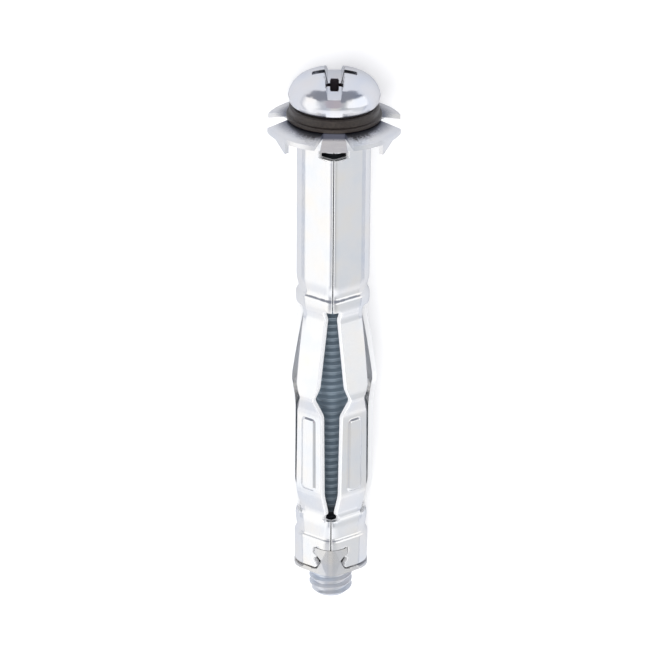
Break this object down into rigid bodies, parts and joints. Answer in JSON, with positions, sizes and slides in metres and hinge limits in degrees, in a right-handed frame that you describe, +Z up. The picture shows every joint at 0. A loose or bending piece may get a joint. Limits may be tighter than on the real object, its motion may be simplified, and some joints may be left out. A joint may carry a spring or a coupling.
{
  "type": "hollow wall anchor",
  "caption": "Metal hollow wall anchor: rolled sleeve with folding legs, toothed flange plate, threaded nut plate at its end, and a pan head screw over a black washer.",
  "frame": {"origin": "on the ground under the middle of the whole part's box; the anchor lies on its back", "axes": "+Y along the anchor towards the screw head, whose axis rises towards the head by 3.61 degrees; +Z up, which is the way the sleeve's seam faces"},
  "size_m": [0.0174, 0.0768, 0.0175],
  "materials": {
    "zinc_sheet": "bright zinc plate on smooth rolled sheet",
    "zinc_plate": "bright zinc plate on stamped sheet with sheared edges",
    "zinc_screw": "bright zinc plate, a little darker in the thread",
    "black_washer": "satin black plastic"
  },
  "bodies": {
    "anchor": {"sleeve": "zinc_sheet", "flange_plate": "zinc_plate", "nut_plate": "zinc_plate"},
    "washer": {"retaining_washer": "black_washer"},
    "screw": {"screw": "zinc_screw"}
  },
  "joints": [
    {"name": "screw_travel", "type": "slide", "parent": "anchor", "child": "washer", "axis": [0, 0.998, 0.0629], "range_m": [0, 0.01]},
    {"name": "screw_turn", "type": "hinge", "parent": "washer", "child": "screw", "pos_m": [0, 0.03199, 0.0088], "axis": [0, 0.998, 0.0629], "range_deg": [0, 3600]}
  ],
  "couplings": [
    {"joint": "screw_turn", "follows": "screw_travel", "rad_per_m": 6283.1}
  ]
}
